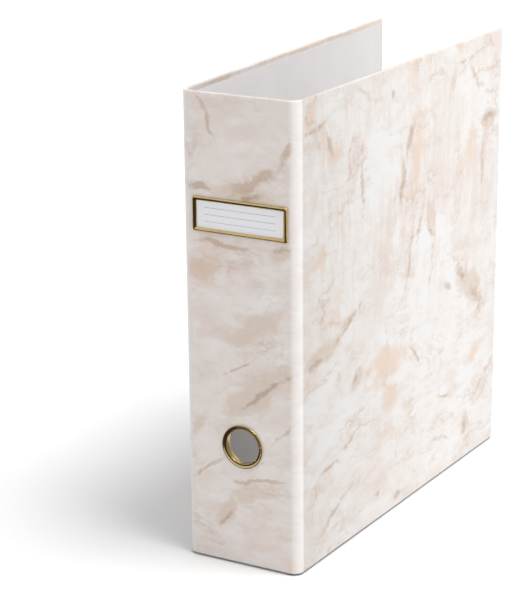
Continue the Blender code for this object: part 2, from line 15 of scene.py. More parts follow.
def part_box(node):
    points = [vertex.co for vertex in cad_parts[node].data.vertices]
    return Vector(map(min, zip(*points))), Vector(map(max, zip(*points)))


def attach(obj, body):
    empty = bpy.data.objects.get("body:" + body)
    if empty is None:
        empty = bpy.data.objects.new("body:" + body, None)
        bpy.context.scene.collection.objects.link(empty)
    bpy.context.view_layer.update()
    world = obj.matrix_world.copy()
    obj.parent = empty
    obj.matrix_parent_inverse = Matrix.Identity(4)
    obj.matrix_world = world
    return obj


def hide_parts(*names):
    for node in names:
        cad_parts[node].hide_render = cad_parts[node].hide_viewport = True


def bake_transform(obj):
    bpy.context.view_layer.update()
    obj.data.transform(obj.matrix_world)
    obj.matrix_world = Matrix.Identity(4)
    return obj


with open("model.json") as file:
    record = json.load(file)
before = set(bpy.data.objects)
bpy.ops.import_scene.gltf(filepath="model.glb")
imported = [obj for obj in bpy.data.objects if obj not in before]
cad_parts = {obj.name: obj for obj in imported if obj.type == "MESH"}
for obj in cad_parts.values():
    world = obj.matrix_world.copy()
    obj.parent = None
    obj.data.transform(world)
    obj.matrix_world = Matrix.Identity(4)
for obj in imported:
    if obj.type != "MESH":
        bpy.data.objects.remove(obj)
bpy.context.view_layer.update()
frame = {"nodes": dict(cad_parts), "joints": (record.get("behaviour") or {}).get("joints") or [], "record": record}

MM = 0.001
UP = Vector((0, 0, 1))
SCENE = bpy.context.scene
JOINTS = {joint["name"]: joint for joint in frame["joints"]}

# ---- Sizes from the frame ----

SPINE_LOW, SPINE_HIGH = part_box("spine_wrap")
BACK_LOW, BACK_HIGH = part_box("back_wrap")
LINING_LOW, LINING_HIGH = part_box("spine_lining")
HEIGHT = SPINE_HIGH.z
SKIN = SPINE_HIGH.y - SPINE_LOW.y
PANEL = LINING_HIGH.y - SPINE_LOW.y
SPINE_HALF = (SPINE_HIGH.x - SPINE_LOW.x) / 2
COVER_START = BACK_LOW.y - SPINE_LOW.y
COVER_END = BACK_HIGH.y - SPINE_LOW.y
LINING_EDGE = LINING_LOW.z
SPLAY = math.radians(-JOINTS["front_cover_hinge"]["range_deg"][0])
CORNER_LENGTH = math.pi / 2 * COVER_START

# ---- Sizes that only the looks need ----

# Paper, and the bands that go round the corners
PAPER = 0.35 * MM
EDGE_ROUND = 0.9 * MM
EDGE_STEPS = 5
TURN_IN = 15 * MM
LINING_GAP = 0.1 * MM
CORNER_STEPS = 28
# The Bezier handle that makes a quarter circle of radius 1
QUARTER_HANDLE = 0.5523
UV_NAME = "sheet"

# Label: the rails and corners of its frame, the bow of its card and the rules printed on it
RAIL_X, RAIL_Z = 3 * MM, 2.5 * MM
FRAME_CORNER, WINDOW_CORNER = 1.5 * MM, 0.35 * MM
FRAME_FOOT, FRAME_LIP = -0.25 * MM, -0.55 * MM
CARD_BOW = 0.12 * MM
RULE_HALF = 26 * MM
RULE_SPACING = 4.6 * MM

# Finger ring. Its heights are out from the face of the spine.
RING_HOLE = 13.4 * MM
RING_FACE = 2.9 * MM
RING_FLANGE = 1.2 * MM
RING_SEAT = 0.25 * MM
RIM_RADIUS = 0.45 * MM
BEAD_RADIUS, BEAD_HEIGHT = 0.33 * MM, 0.30 * MM
BARREL_WALL = 0.6 * MM
BARREL_TOP = -0.9 * MM
WASHER_GAP = 0.3 * MM
WASHER_CHAMFER = 0.3 * MM

# Edges: a crease turns by more than this angle, and the mechanism's creases are softened
CREASE = math.radians(40)
SOFT_EDGE = 0.15 * MM
WELD = 0.01 * MM

# Studio. The floor lies a little under the boards' rounded edges.
FLOOR_GAP = 1.0 * MM
FLOOR_HALF = 12
SUN_FROM = Vector((0.43, 0.02, 1.0))
SUN_STRENGTH = 1.94
SUN_WIDTH = math.radians(28)
SKY_STRENGTH = 0.65
SKY_PALE = (0.985, 0.99, 1, 1)
SKY_DARK = (0.06, 0.05, 0.04, 1)
DARK_TOWARD = Vector((-0.2, -0.68, -0.70))
DARK_EDGE = (0.38, 0.58)
CAMERA_PLACE = (0.60565, -1.2155, 0.5805)
CAMERA_AZIMUTH = math.radians(29.14)
CAMERA_ELEVATION = math.radians(17.78)
CAMERA_ROLL = math.radians(-0.54)
CAMERA_LENS = 121.5
CAMERA_SENSOR = 36


# ---- Small helpers ----


def piece(name, bm, look):
    """A new object from a bmesh, smooth between its creases."""
    mesh = bpy.data.meshes.new(name)
    bm.to_mesh(mesh)
    bm.free()
    mesh.materials.append(look)
    made = bpy.data.objects.new(name, mesh)
    SCENE.collection.objects.link(made)
    return soft(made)


def soft(made):
    made.data.shade_smooth()
    made.data.set_sharp_from_angle(angle=CREASE)
    return made


def baked(made):
    """The object with its modifiers applied, so that its mesh is final."""
    bpy.context.view_layer.update()
    graph = bpy.context.evaluated_depsgraph_get()
    mesh = bpy.data.meshes.new_from_object(made.evaluated_get(graph))
    mesh.name = made.name
    made.modifiers.clear()
    made.data = mesh
    return made


def arc(across, up, radius, first, last, steps):
    """Points on an arc round (across, up), from one angle to another, in degrees."""
    points = []
    for i in range(steps + 1):
        turn = math.radians(first + (last - first) * i / steps)
        points.append((across + radius * math.cos(turn), up + radius * math.sin(turn)))
    return points


def grid_faces(bm, rings, close_ring=True, close_path=False):
    """Quads between rings of vertices, each ring as long as the next."""
    pairs = list(zip(rings, rings[1:]))
    if close_path:
        pairs.append((rings[-1], rings[0]))
    for one, two in pairs:
        count = len(one) if close_ring else len(one) - 1
        for i in range(count):
            j = (i + 1) % len(one)
            bm.faces.new((one[i], one[j], two[j], two[i]))


def turned(name, profile, place, axis, look, steps=96):
    """A turned piece: (radius, height) points spun round the axis. A point at radius 0 becomes a pole."""
    bm = bmesh.new()
    turn = axis.to_track_quat("Z", "Y").to_matrix()
    rings = []
    for radius, along in profile:
        count = 1 if radius == 0 else steps
        ring = []
        for i in range(count):
            angle = 2 * math.pi * i / steps
            at = Vector((radius * math.cos(angle), radius * math.sin(angle), along))
            ring.append(bm.verts.new(place + turn @ at))
        rings.append(ring)
    for one, two in zip(rings, rings[1:]):
        for i in range(steps):
            j = (i + 1) % steps
            corners = (one[i % len(one)], one[j % len(one)], two[j % len(two)], two[i % len(two)])
            kept = list(dict.fromkeys(corners))
            if len(kept) > 2:
                bm.faces.new(kept)
    bmesh.ops.remove_doubles(bm, verts=bm.verts, dist=1e-7)
    bmesh.ops.recalc_face_normals(bm, faces=bm.faces)
    return piece(name, bm, look)


# ---- Materials ----


class Look:
    """A procedural material, with short calls for its nodes."""

    def __init__(self, name):
        self.material = bpy.data.materials.new(name)
        self.material.use_nodes = True
        self.tree = self.material.node_tree
        self.shader = self.tree.nodes["Principled BSDF"]

    def node(self, kind, values=None, **settings):
        made = self.tree.nodes.new(kind)
        for key, value in settings.items():
            setattr(made, key, value)
        for socket, value in (values or {}).items():
            self.plug(made.inputs[socket], value)
        return made

    def plug(self, socket, value):
        if isinstance(value, bpy.types.NodeSocket):
            self.tree.links.new(value, socket)
        else:
            socket.default_value = value

    def math(self, operation, a, b=0.0):
        return self.node("ShaderNodeMath", {0: a, 1: b}, operation=operation).outputs[0]

    def add(self, a, b):
        return self.math("ADD", a, b)

    def times(self, a, b):
        return self.math("MULTIPLY", a, b)

    def vector(self, operation, a, b):
        return self.node("ShaderNodeVectorMath", {0: a, 1: b}, operation=operation).outputs[0]

    def split(self, where):
        return self.node("ShaderNodeSeparateXYZ", {0: where}).outputs

    def ramp(self, value, low, high, to_low=0.0, to_high=1.0):
        values = {"Value": value, "From Min": low, "From Max": high, "To Min": to_low, "To Max": to_high}
        return self.node("ShaderNodeMapRange", values, interpolation_type="SMOOTHSTEP").outputs[0]

    def noise(self, where, scale, detail=4.0, roughness=0.55, distortion=0.0, output="Fac"):
        values = {
            "Vector": where,
            "Scale": scale,
            "Detail": detail,
            "Roughness": roughness,
            "Distortion": distortion,
        }
        return self.node("ShaderNodeTexNoise", values).outputs[output]

    def mapped(self, where, location=(0, 0, 0), turn=0.0, scale=(1, 1, 1), kind="POINT"):
        values = {
            "Vector": where,
            "Location": location,
            "Rotation": (0, 0, math.radians(turn)),
            "Scale": scale,
        }
        return self.node("ShaderNodeMapping", values, vector_type=kind).outputs[0]

    def mix(self, share, a, b):
        made = self.node("ShaderNodeMix", data_type="RGBA")
        self.plug(made.inputs[0], share)
        for index, value in ((6, a), (7, b)):
            self.plug(made.inputs[index], value if not isinstance(value, tuple) else (*value, 1))
        return made.outputs[2]

    def bump(self, height, distance, strength):
        values = {"Height": height, "Distance": distance, "Strength": strength}
        return self.node("ShaderNodeBump", values).outputs[0]

    def finish(self, color, roughness, metallic=0.0, normal=None, **constants):
        self.plug(self.shader.inputs["Base Color"], color)
        self.plug(self.shader.inputs["Roughness"], roughness)
        self.shader.inputs["Metallic"].default_value = metallic
        if normal is not None:
            self.plug(self.shader.inputs["Normal"], normal)
        for name, value in constants.items():
            self.shader.inputs[name.replace("_", " ")].default_value = value
        return self.material

    def place(self):
        return self.node("ShaderNodeTexCoord").outputs["Object"]

    def sheet(self):
        return self.node("ShaderNodeUVMap", uv_map=UV_NAME).outputs[0]


# Colours of the marbled paper
WHITE = (0.900, 0.880, 0.865)
CREAM = (0.850, 0.800, 0.755)
BLUSH = (0.800, 0.690, 0.630)
PEACH = (0.840, 0.650, 0.510)
BEIGE = (0.690, 0.540, 0.420)
TAN = (0.580, 0.410, 0.280)
BROWN = (0.370, 0.230, 0.130)
# Painted highlight: a pale band round each corner, where the rounded paper would catch the light
PAINTED_CORNER_HIGHLIGHT = (0.92, 0.905, 0.895)
# Painted shade: a dark band on the paper's foot, which darkens the shadow line in the gap over the floor
PAINTED_FOOT_SHADE = (0.075, 0.07, 0.065)

# Clouds over the whole sheet: scale, colour, the field's low and high end, strength
CLOUDS = (
    (7, CREAM, 0.36, 0.64, 0.95),
    (12, BLUSH, 0.46, 0.70, 0.60),
    (17, PEACH, 0.50, 0.76, 0.45),
)
# Marks in SHEET_MARKS, soft ones then sharp ones: key, colour, strength, the mask's low and high end, and how
# much the paper's mottle frays the rim
WASHES = (
    ("blush", BLUSH, 0.62, -0.10, 0.85, 1.2),
    ("white", WHITE, 0.95, 0.00, 0.80, 1.2),
    ("peach", PEACH, 0.66, -0.05, 0.75, 1.2),
    ("beige", BEIGE, 0.52, 0.05, 0.85, 1.7),
)
VEINS = (
    ("tan", TAN, 0.62, 0.05, 0.95, 2.4),
    ("brown", BROWN, 0.46, 0.10, 1.15, 3.2),
)
# Veins between the placed ones: scale, width, angle in degrees, strength
LOOSE_VEINS = (
    (9, 0.022, 40, 0.40),
    (21, 0.035, 34, 0.20),
    (34, 0.05, 84, 0.14),
)

# The marbled sheet's own clouds and veins, placed one by one. Each is its middle across and up the unwrapped
# sheet, its length and width, all in mm, then its angle in degrees and its strength. Across is 0 at the
# spine's middle, and the front cover starts at 46.
SHEET_MARKS = {
    "white": [
        (84, 308, 50, 16, 20, 0.9),
        (250, 312, 40, 14, 10, 0.9),
        (272, 284, 34, 30, 0, 1.0),
        (66, 272, 36, 22, 70, 0.7),
        (140, 240, 24, 60, 0, 0.7),
        (60, 110, 50, 30, 25, 0.9),
        (90, 88, 90, 26, 20, 0.8),
        (225, 90, 70, 40, -30, 0.8),
        (110, 6, 70, 16, 0, 0.6),
        (20, 186, 40, 20, 20, 0.6),
        (10, 92, 60, 14, 30, 0.6),
        (-20, 150, 30, 20, 60, 0.5),
    ],
    "blush": [
        (112, 262, 70, 16, 82, 0.9),
        (60, 250, 60, 22, 80, 0.8),
        (150, 180, 110, 40, 80, 0.8),
        (230, 240, 90, 50, 80, 0.8),
        (305, 232, 50, 20, 80, 1.0),
        (270, 170, 50, 24, -30, 0.6),
        (0, 296, 80, 30, 0, 0.6),
        (8, 262, 90, 26, 5, 0.9),
        (0, 205, 84, 30, -5, 0.8),
        (310, 50, 60, 24, 40, 0.9),
        (150, 30, 60, 20, 20, 0.6),
        (10, 20, 70, 24, 0, 0.6),
        (-120, 250, 120, 40, 30, 0.9),
        (-240, 130, 130, 50, 40, 0.9),
    ],
    "peach": [
        (-190, 321, 150, 12, 0, 1.2),
        (-300, 322, 60, 12, 0, 1.2),
        (56, 308, 34, 15, 42, 1.0),
        (87, 276, 34, 15, 12, 0.9),
        (259, 315, 26, 10, -10, 0.9),
        (284, 246, 34, 20, 15, 0.9),
        (160, 113, 72, 28, 0, 1.2),
        (163, 90, 34, 26, -60, 1.0),
        (200, 252, 76, 30, 80, 0.8),
        (294, 80, 34, 15, 20, 0.9),
        (-26, 203, 42, 28, 5, 0.8),
        (36, 4, 11, 10, 0, 1.2),
        (66, 212, 34, 14, 20, 0.8),
        (-110, 120, 70, 34, 30, 0.9),
        (-230, 240, 60, 30, 60, 0.9),
        (-290, 60, 50, 24, 10, 0.9),
    ],
    "beige": [
        (-90, 320, 80, 10, 0, 1.2),
        (-250, 321, 60, 8, 0, 1.2),
        (-24, 204, 40, 24, 5, 1.35),
        (0, 257, 60, 14, -8, 1.35),
        (30, 222, 32, 18, 20, 1.49),
        (10, 168, 76, 26, 20, 1.08),
        (14, 122, 94, 30, 42, 1.49),
        (-34, 92, 44, 12, 55, 1.08),
        (6, 52, 62, 18, 10, 1.62),
        (-12, 38, 36, 14, 62, 1.49),
        (70, 146, 60, 20, 12, 1.8),
        (116, 114, 20, 18, 50, 1.3),
        (285, 134, 76, 30, -42, 1.3),
        (222, 202, 44, 18, -72, 1.3),
        (250, 290, 28, 12, 60, 1.0),
        (312, 258, 42, 18, 5, 1.6),
        (283, 24, 18, 34, 8, 1.4),
        (-34, 280, 50, 8, 80, 0.81),
        (-90, 200, 90, 24, 42, 0.9),
        (-180, 60, 100, 26, 35, 0.9),
        (-270, 200, 90, 22, 50, 0.9),
    ],
    "tan": [
        (60, 297, 50, 6, 6, 1.0),
        (80, 285, 24, 7, -62, 1.1),
        (106, 270, 56, 5, 78, 0.8),
        (123, 246, 66, 6, 96, 0.7),
        (188, 264, 36, 8, 62, 1.1),
        (176, 236, 46, 11, 86, 1.2),
        (205, 198, 40, 6, 70, 0.9),
        (190, 180, 60, 6, 76, 0.7),
        (220, 160, 60, 5, 80, 0.6),
        (268, 303, 36, 5, 0, 0.9),
        (287, 287, 38, 6, -56, 1.0),
        (302, 226, 50, 6, 84, 0.8),
        (104, 158, 52, 7, 28, 1.1),
        (200, 106, 36, 4, -46, 0.9),
        (80, 63, 64, 4, 3, 0.9),
        (112, 76, 46, 4, 24, 0.9),
        (61, 46, 36, 3, 90, 0.6),
        (85, 26, 66, 4, 32, 0.9),
        (245, 61, 38, 4, -16, 1.0),
        (259, 40, 38, 3, 90, 0.6),
        (314, 60, 50, 5, 40, 0.8),
        (-22, 300, 42, 5, -68, 0.94),
        (34, 284, 32, 8, 66, 1.35),
        (14, 265, 46, 8, 20, 1.35),
        (-10, 220, 64, 4, -8, 1.35),
        (-2, 137, 46, 4, 38, 1.22),
        (-24, 66, 40, 4, 36, 1.08),
        (10, 61, 58, 4, 6, 1.35),
        (30, 96, 40, 4, 40, 0.94),
        (-80, 192, 90, 5, 42, 1.0),
        (-150, 150, 80, 4, 60, 0.9),
        (-175, 70, 110, 5, 34, 1.0),
        (-250, 270, 70, 5, 20, 0.9),
        (-300, 150, 80, 5, 66, 0.9),
    ],
    "brown": [
        (165, 300, 10, 7, 60, 1.2),
        (64, 142, 34, 8, 8, 1.0),
        (313, 259, 34, 9, 5, 1.3),
        (176, 232, 24, 5, 84, 0.9),
        (221, 194, 24, 9, -70, 0.9),
        (249, 142, 18, 9, -20, 1.3),
        (272, 148, 28, 8, -50, 1.1),
        (298, 121, 34, 13, -45, 1.0),
        (247, 24, 38, 4, -20, 1.0),
        (283, 22, 9, 26, 8, 1.0),
        (175, 6, 15, 9, 0, 1.1),
        (145, 20, 8, 8, 0, 1.0),
        (114, 114, 12, 9, 60, 1.0),
        (20, 124, 64, 5, 42, 1.49),
        (-29, 258, 28, 8, 10, 1.49),
        (10, 257, 30, 5, 10, 1.22),
        (30, 224, 22, 7, 10, 1.22),
        (-12, 34, 28, 4, 62, 1.22),
        (-96, 180, 50, 8, 40, 1.0),
        (-262, 196, 46, 9, 50, 1.0),
        (-190, 58, 40, 7, 36, 1.0),
    ],
}


class Marble(Look):
    """Printed and laminated paper, built up layer by layer.

    color is what has been laid so far. flat is a point's place on the sheet. drawn is the same place shifted
    about, so that what is drawn there wavers.
    """

    def __init__(self, name):
        super().__init__(name)
        self.color = WHITE
        self.flat = self.vector("MULTIPLY", self.sheet(), (1, 1, 0))
        self.drawn = self.shifted(self.shifted(self.flat, 0.016, 24, 2, 1.7), 0.006, 110, 4, 4.1)
        self.across, self.up = self.split(self.flat)[:2]
        self.fibre = self.fibres()
        self.mottle = self.centred_noise(self.drawn, 60, 8, 0.72, 0.2)

    def shifted(self, start, size, scale, detail, seed):
        """start pushed about by a noise, by up to half of size each way."""
        push = self.noise(self.vector("ADD", self.flat, (seed, seed, 0)), scale, detail, 0.6, output="Color")
        push = self.vector("SUBTRACT", push, (0.5, 0.5, 0.5))
        return self.vector("ADD", start, self.vector("MULTIPLY", push, (size, size, 0)))

    def centred_noise(self, where, scale, detail, roughness, distortion=0.0):
        return self.math("SUBTRACT", self.noise(where, scale, detail, roughness, distortion), 0.5)

    def fibres(self):
        """Fibres run upright over the front cover, and aslant over its foot and the spine."""
        combed = self.shifted(self.flat, 0.010, 30, 2, 2.9)
        upright = self.times(self.ramp(self.across, 0.045, 0.075), self.ramp(self.up, 0.08, 0.20))
        aslant = self.math("SUBTRACT", 1.0, upright)
        long_up = self.mapped(combed, turn=-6, scale=(3.0, 0.50, 1))
        long_aslant = self.mapped(combed, turn=-42, scale=(0.9, 2.2, 1))
        return self.add(
            self.times(self.centred_noise(long_up, 52, 8, 0.72, 0.15), upright),
            self.times(self.centred_noise(long_aslant, 42, 8, 0.70, 0.3), aslant),
        )

    def lay(self, share, tint):
        """Lays a share of a colour over what is there."""
        self.color = self.mix(share, self.color, tint)

    def drag(self, mask):
        """Later marks shift a little where they cross this one."""
        push = self.vector("MULTIPLY", mask, (0.8 * MM, 0.5 * MM, 0))
        self.drawn = self.vector("ADD", self.drawn, push)

    def marks(self, key):
        """The strongest of a colour's marks: its own strength at its middle, 0 at its rim, less outside."""
        total = None
        for across, up, length, width, angle, strength in SHEET_MARKS[key]:
            middle = (across * MM, up * MM, 0)
            half = (length * MM / 2, width * MM / 2, 1)
            local = self.mapped(self.drawn, middle, angle, half, "TEXTURE")
            far = self.node("ShaderNodeVectorMath", {0: local}, operation="LENGTH").outputs["Value"]
            near = self.times(self.math("SUBTRACT", 1.0, far), strength)
            total = near if total is None else self.math("MAXIMUM", total, near)
        return total

    def clouds(self):
        """Clouds over the whole sheet, then a blush over the spine."""
        grain = self.add(self.times(self.mottle, 0.35), self.times(self.fibre, 0.30))
        for scale, tint, low, high, strength in CLOUDS:
            field = self.noise(self.vector("ADD", self.drawn, (scale, 0, 0)), scale, 6, 0.62, 0.3)
            self.lay(self.ramp(self.add(field, grain), low, high, 0.0, strength), tint)
        self.lay(self.ramp(self.math("ABSOLUTE", self.across), 0.052, 0.036, 0.0, 0.42), BLUSH)

    def washes(self):
        """The placed clouds, with a soft and frayed rim."""
        fray = self.add(self.times(self.mottle, 0.9), self.times(self.fibre, 0.9))
        for key, tint, strength, low, high, spread in WASHES:
            mask = self.ramp(self.add(self.marks(key), self.times(fray, spread)), low, high)
            self.lay(self.times(mask, strength), tint)
            self.drag(mask)

    def loose_veins(self):
        """Veins between the placed ones, soft and broken."""
        for scale, width, turn, strength in LOOSE_VEINS:
            along = self.mapped(self.drawn, turn=-turn, scale=(1, 2.0, 1))
            line = self.math("ABSOLUTE", self.centred_noise(along, scale, 6, 0.64, 0.3))
            line = self.ramp(line, width, 0.0, 0.0, strength)
            patch = self.ramp(self.noise(self.flat, 9 + scale, 4, 0.6), 0.46, 0.62)
            self.lay(self.times(line, patch), TAN)

    def streaks(self):
        """Blush along some fibres and white along others."""
        self.lay(self.ramp(self.fibre, 0.01, 0.24, 0.0, 0.75), BLUSH)
        self.lay(self.ramp(self.fibre, -0.02, -0.24, 0.0, 0.70), WHITE)

    def veins(self):
        """The placed veins, speckled."""
        grain = self.add(self.times(self.mottle, 0.5), self.times(self.fibre, 0.6))
        speckle = self.add(self.centred_noise(self.drawn, 170, 8, 0.78), grain)
        for key, tint, strength, low, high, spread in VEINS:
            marks = self.marks(key)
            mask = self.ramp(self.add(marks, self.times(speckle, spread)), low, high)
            mask = self.times(mask, self.ramp(marks, -0.9, 0.1))
            self.lay(self.times(mask, strength), tint)
            self.drag(mask)

    def painted_highlight_and_shade(self):
        """Painted light: a pale band round the corners stands in for a highlight, and a dark band on the foot
        stands in for the shade under the boards.
        """
        side = self.math("ABSOLUTE", self.across)
        start, end = SPINE_HALF, SPINE_HALF + CORNER_LENGTH
        rise, fall = self.ramp(side, start, start + 4 * MM), self.ramp(side, end + 3 * MM, end - 3 * MM)
        # Painted highlight: a pale band over each corner
        self.lay(self.times(self.times(rise, fall), 0.55), PAINTED_CORNER_HIGHLIGHT)
        below, above = self.ramp(self.up, 0.9 * MM, 0.1 * MM), self.ramp(self.up, -2.6 * MM, -1.9 * MM)
        # Painted shade: a dark band round the foot, under the boards
        self.lay(self.times(below, above), PAINTED_FOOT_SHADE)


def marbled_paper():
    look = Marble("marbled_paper")
    look.clouds()
    look.washes()
    look.loose_veins()
    look.streaks()
    look.veins()
    # Painted highlight round the corners and painted shade along the foot
    look.painted_highlight_and_shade()
    film = look.noise(look.flat, 700, 3, 0.6)
    swell = look.noise(look.flat, 22, 2, 0.5)
    height = look.add(look.times(film, 0.12), swell)
    roughness = look.ramp(look.noise(look.flat, 260, 4), 0.3, 0.7, 0.36, 0.48)
    normal = look.bump(height, 0.00018, 0.6)
    return look.finish(look.color, roughness, 0.0, normal, Specular_IOR_Level=0.42)


def lining_paper():
    look = Look("lining_paper")
    place = look.place()
    fibre = look.noise(look.mapped(place, scale=(1, 1, 0.35)), 900, 6, 0.7)
    cloud = look.noise(place, 25, 5, 0.6)
    color = look.mix(look.ramp(cloud, 0.35, 0.7), (0.872, 0.854, 0.846), (0.838, 0.816, 0.806))
    color = look.mix(look.ramp(fibre, 0.55, 0.8, 0.0, 0.35), color, (0.74, 0.72, 0.71))
    roughness = look.ramp(cloud, 0.3, 0.7, 0.62, 0.75)
    return look.finish(color, roughness, 0.0, look.bump(fibre, 0.00006, 0.7), Specular_IOR_Level=0.3)


def greyboard():
    look = Look("greyboard")
    place = look.place()
    fleck = look.noise(place, 1400, 6, 0.75)
    layers = look.noise(look.mapped(place, scale=(6, 6, 0.6)), 220, 5, 0.6)
    color = look.mix(look.ramp(layers, 0.35, 0.65), (0.36, 0.33, 0.29), (0.45, 0.41, 0.36))
    color = look.mix(look.ramp(fleck, 0.58, 0.75, 0.0, 0.6), color, (0.18, 0.16, 0.14))
    roughness = look.ramp(fleck, 0.3, 0.7, 0.85, 0.95)
    return look.finish(color, roughness, 0.0, look.bump(fleck, 0.0001, 0.8))


def label_card():
    """White card with three faint ruled lines to write on."""
    look = Look("label_card")
    place = look.place()
    fibre = look.noise(place, 1500, 5, 0.7)
    color = look.mix(look.ramp(fibre, 0.4, 0.7), (0.90, 0.90, 0.93), (0.935, 0.935, 0.96))
    low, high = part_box("label_card")
    middle = (low + high) / 2
    x, _, z = look.split(place)
    across = look.math("ABSOLUTE", look.math("SUBTRACT", x, middle.x))
    inside = look.math("LESS_THAN", across, RULE_HALF)
    for row in (-1, 0, 1):
        far = look.math("ABSOLUTE", look.math("SUBTRACT", z, middle.z + row * RULE_SPACING))
        line = look.ramp(far, 0.22 * MM, 0.12 * MM, 0.0, 0.75)
        color = look.mix(look.times(line, inside), color, (0.30, 0.33, 0.38))
    roughness = look.ramp(fibre, 0.3, 0.7, 0.5, 0.62)
    return look.finish(color, roughness, 0.0, look.bump(fibre, 0.00003, 0.6))


def metal(name, light, dark, rough, brushing):
    """Polished or plated metal: fine rubbing marks, faint tarnish, and a roughness that varies."""
    look = Look(name)
    place = look.place()
    cloud = look.noise(place, 90, 5, 0.6)
    rub = look.noise(look.mapped(place, scale=brushing), 500, 4, 0.65)
    color = look.mix(look.ramp(cloud, 0.35, 0.72), light, dark)
    rubbed = look.ramp(rub, 0.3, 0.7, 0.0, 0.08)
    roughness = look.add(rubbed, look.ramp(cloud, 0.3, 0.7, rough, rough + 0.05))
    return look.finish(color, roughness, 1.0, look.bump(rub, 0.00001, 0.5))


def nylon():
    look = Look("nylon")
    place = look.place()
    grain = look.noise(place, 800, 4, 0.6)
    color = look.mix(look.ramp(grain, 0.3, 0.7), (0.80, 0.78, 0.72), (0.86, 0.85, 0.81))
    roughness = look.ramp(grain, 0.3, 0.7, 0.42, 0.55)
    return look.finish(color, roughness, 0.0, look.bump(grain, 0.00004, 0.6), Subsurface_Weight=0.1)


# The looks, by the record's material slots
LOOKS = {
    "marbled_paper": marbled_paper(),
    "lining_paper": lining_paper(),
    "greyboard": greyboard(),
    "label_card": label_card(),
    "polished_brass": metal("polished_brass", (0.86, 0.66, 0.33), (0.76, 0.55, 0.25), 0.10, (1, 1, 6)),
    "nickel_plate": metal("nickel_plate", (0.76, 0.75, 0.72), (0.66, 0.65, 0.63), 0.24, (1, 1, 8)),
    "nylon": nylon(),
}


# ---- Case ----


@dataclass
class Panel:
    """A flat panel. across runs away from its hinge, or along the spine, and inward from its outer face."""

    name: str
    body: str
    origin: Vector
    across: Vector
    inward: Vector
    start: float
    end: float
    sheet_start: float
    sheet_sign: int

    def point(self, across, depth, z):
        return self.origin + self.across * across + self.inward * depth + UP * z

    def sheet(self, across):
        return self.sheet_start + self.sheet_sign * (across - self.start)


def cover_panel(name, body, hinge, sign, splay):
    """A cover's panel. The hinge axis is half a panel's thickness inside the outer face."""
    across = Vector((sign * math.sin(splay), math.cos(splay), 0))
    inward = Vector((-sign * math.cos(splay), math.sin(splay), 0))
    pivot = Vector(JOINTS[hinge]["pos_m"])
    origin = pivot - inward * (PANEL / 2) - across * (PANEL / 2)
    origin.z = 0
    sheet_start = sign * (SPINE_HALF + CORNER_LENGTH)
    return Panel(name, body, origin, across, inward, COVER_START, COVER_END, sheet_start, sign)


def spine_panel():
    origin = Vector(((SPINE_LOW.x + SPINE_HIGH.x) / 2, SPINE_LOW.y, 0))
    across, inward = Vector((1, 0, 0)), Vector((0, 1, 0))
    return Panel("spine", "spine", origin, across, inward, -SPINE_HALF, SPINE_HALF, -SPINE_HALF, 1)


SPINE = spine_panel()
BACK = cover_panel("back", "back_cover", "spine_hinge", -1, 0)
FRONT = cover_panel("front", "front_cover", "front_cover_hinge", 1, SPLAY)


def sheet_place(panel, at, normal):
    """Where a point of a panel's paper is on the unwrapped sheet. at is (across, depth, z) in the panel."""
    across, depth, z = at
    if depth > SKIN / 2 and abs(normal.y) > 0.7:
        fore = panel.end - across if panel is not SPINE else math.inf
        nearest = min(fore, HEIGHT - z, z)
        if nearest == fore:
            return panel.sheet(panel.end + fore + depth), z
        return panel.sheet(across), (2 * HEIGHT - z + depth if nearest == HEIGHT - z else -z - depth)
    if abs(normal.z) > max(abs(normal.x), abs(normal.y)):
        return panel.sheet(across), (z + depth if z > HEIGHT / 2 else z - depth)
    if abs(normal.x) > abs(normal.y):
        return panel.sheet(across) + panel.sheet_sign * depth, z
    return panel.sheet(across), z


def open_box(panel):
    """A box of the panel's size, without the ends where its paper goes on round a corner."""
    low = Vector((panel.start, 0, 0))
    high = Vector((panel.end, SKIN, HEIGHT))
    bm = bmesh.new()
    bmesh.ops.create_cube(bm, size=1)
    bmesh.ops.scale(bm, vec=high - low, verts=bm.verts)
    bmesh.ops.translate(bm, vec=(low + high) / 2, verts=bm.verts)
    open_ends = (-1, 1) if panel is SPINE else (-1,)
    ends = [f for f in bm.faces if round(f.normal.x) in open_ends]
    bmesh.ops.delete(bm, geom=ends, context="FACES_ONLY")
    return bm


def cut_window(bm, panel):
    """Leaves only the turned-in strips of the inner face."""
    last = panel.end if panel is SPINE else panel.end - TURN_IN
    cuts = [(Vector((0, 0, TURN_IN)), UP), (Vector((0, 0, HEIGHT - TURN_IN)), UP)]
    if panel is not SPINE:
        cuts.append((Vector((last, 0, 0)), Vector((1, 0, 0))))
    for place, normal in cuts:
        inner = [f for f in bm.faces if f.normal.y > 0.9]
        edges = dict.fromkeys(e for f in inner for e in f.edges)
        verts = dict.fromkeys(v for f in inner for v in f.verts)
        geom = inner + list(edges) + list(verts)
        bmesh.ops.bisect_plane(bm, geom=geom, plane_co=place, plane_no=normal, dist=1e-7)
    window = []
    for face in bm.faces:
        across, _, z = face.calc_center_median()
        if face.normal.y > 0.9 and TURN_IN < z < HEIGHT - TURN_IN and across < last:
            window.append(face)
    bmesh.ops.delete(bm, geom=window, context="FACES_ONLY")
    loose = [e for e in bm.edges if not e.link_faces]
    bmesh.ops.delete(bm, geom=loose, context="EDGES")


